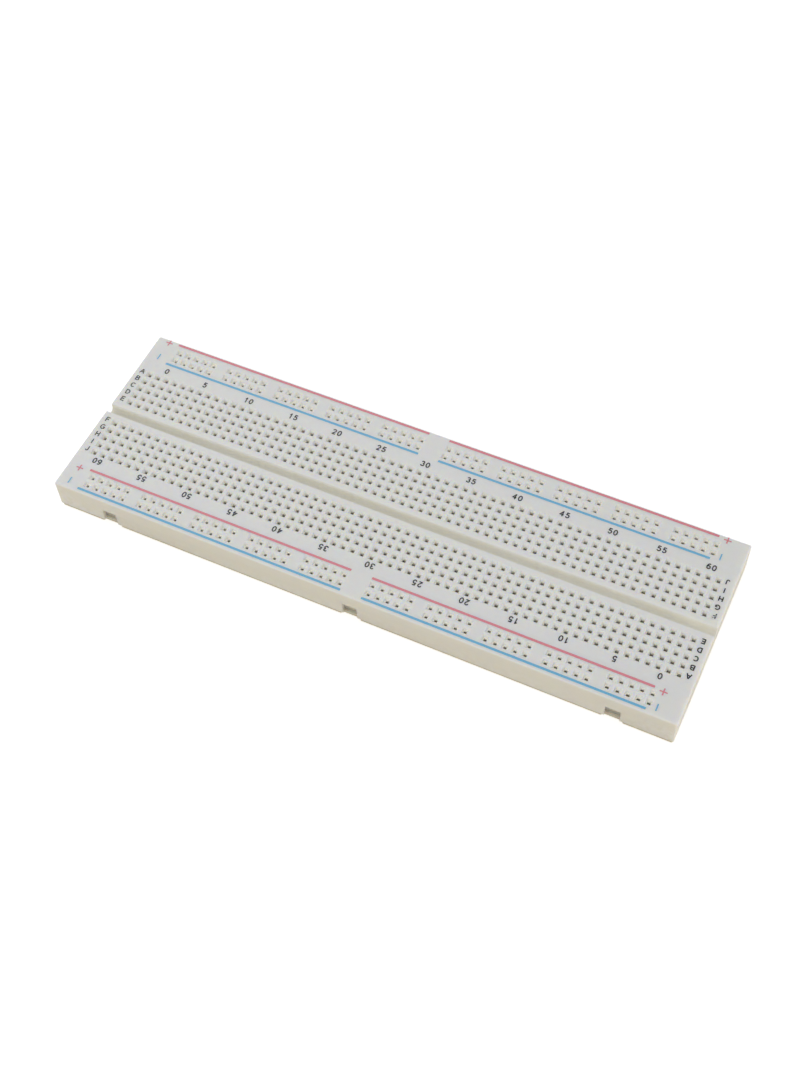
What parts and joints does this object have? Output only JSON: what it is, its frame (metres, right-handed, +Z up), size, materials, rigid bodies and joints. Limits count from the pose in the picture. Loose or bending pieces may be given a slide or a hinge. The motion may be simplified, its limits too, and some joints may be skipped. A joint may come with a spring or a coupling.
{
  "type": "solderless breadboard",
  "caption": "Flat ivory plastic block with a grid of square sockets over spring clips, a centre groove, and a dovetailed power bus strip along each long side.",
  "frame": {"origin": "middle of the tie-point grid, on the bottom face that the board rests on", "axes": "+X along the length, +Y across towards the side with row A and the rear tabs, +Z up out of the tie points"},
  "size_m": [0.1656, 0.0547, 0.0095],
  "materials": {
    "housing_plastic": "fine satin ABS, slightly translucent ivory white",
    "clip_metal": "nickel-plated phosphor bronze, bright",
    "adhesive_foam": "white foam tape with cut edges",
    "liner_paper": "waxed release paper, cream",
    "ink_black": "screen-printed ink",
    "ink_red": "screen-printed ink",
    "ink_blue": "screen-printed ink"
  },
  "bodies": {
    "release_liner": {"release_liner": "liner_paper"},
    "front_bus_strip": {"front_bus_housing": "housing_plastic", "front_bus_clip_minus_left": "clip_metal", "front_bus_clip_minus_right": "clip_metal", "front_bus_clip_plus_left": "clip_metal", "front_bus_clip_plus_right": "clip_metal", "front_bus_pad": "adhesive_foam"},
    "terminal_strip": {"terminal_housing": "housing_plastic", "rear_clips_01_05": "clip_metal", "rear_clips_06_10": "clip_metal", "rear_clips_11_15": "clip_metal", "rear_clips_16_20": "clip_metal", "rear_clips_21_25": "clip_metal", "rear_clips_26_30": "clip_metal", "rear_clips_31_35": "clip_metal", "rear_clips_36_40": "clip_metal", "rear_clips_41_45": "clip_metal", "rear_clips_46_50": "clip_metal", "rear_clips_51_55": "clip_metal", "rear_clips_56_60": "clip_metal", "rear_clips_61_63": "clip_metal", "front_clips_01_05": "clip_metal", "front_clips_06_10": "clip_metal", "front_clips_11_15": "clip_metal", "front_clips_16_20": "clip_metal", "front_clips_21_25": "clip_metal", "front_clips_26_30": "clip_metal", "front_clips_31_35": "clip_metal", "front_clips_36_40": "clip_metal", "front_clips_41_45": "clip_metal", "front_clips_46_50": "clip_metal", "front_clips_51_55": "clip_metal", "front_clips_56_60": "clip_metal", "front_clips_61_63": "clip_metal", "terminal_pad": "adhesive_foam"},
    "rear_bus_strip": {"rear_bus_housing": "housing_plastic", "rear_bus_clip_minus_left": "clip_metal", "rear_bus_clip_minus_right": "clip_metal", "rear_bus_clip_plus_left": "clip_metal", "rear_bus_clip_plus_right": "clip_metal", "rear_bus_pad": "adhesive_foam"}
  },
  "joints": [
    {"name": "board_peel", "type": "slide", "parent": "release_liner", "child": "front_bus_strip", "axis": [0, 0, 1], "range_m": [0, 0.025]},
    {"name": "terminal_lift", "type": "slide", "parent": "front_bus_strip", "child": "terminal_strip", "axis": [0, 0, 1], "range_m": [0, 0.014]},
    {"name": "rear_bus_lift", "type": "slide", "parent": "terminal_strip", "child": "rear_bus_strip", "axis": [0, 0, 1], "range_m": [0, 0.014]}
  ]
}
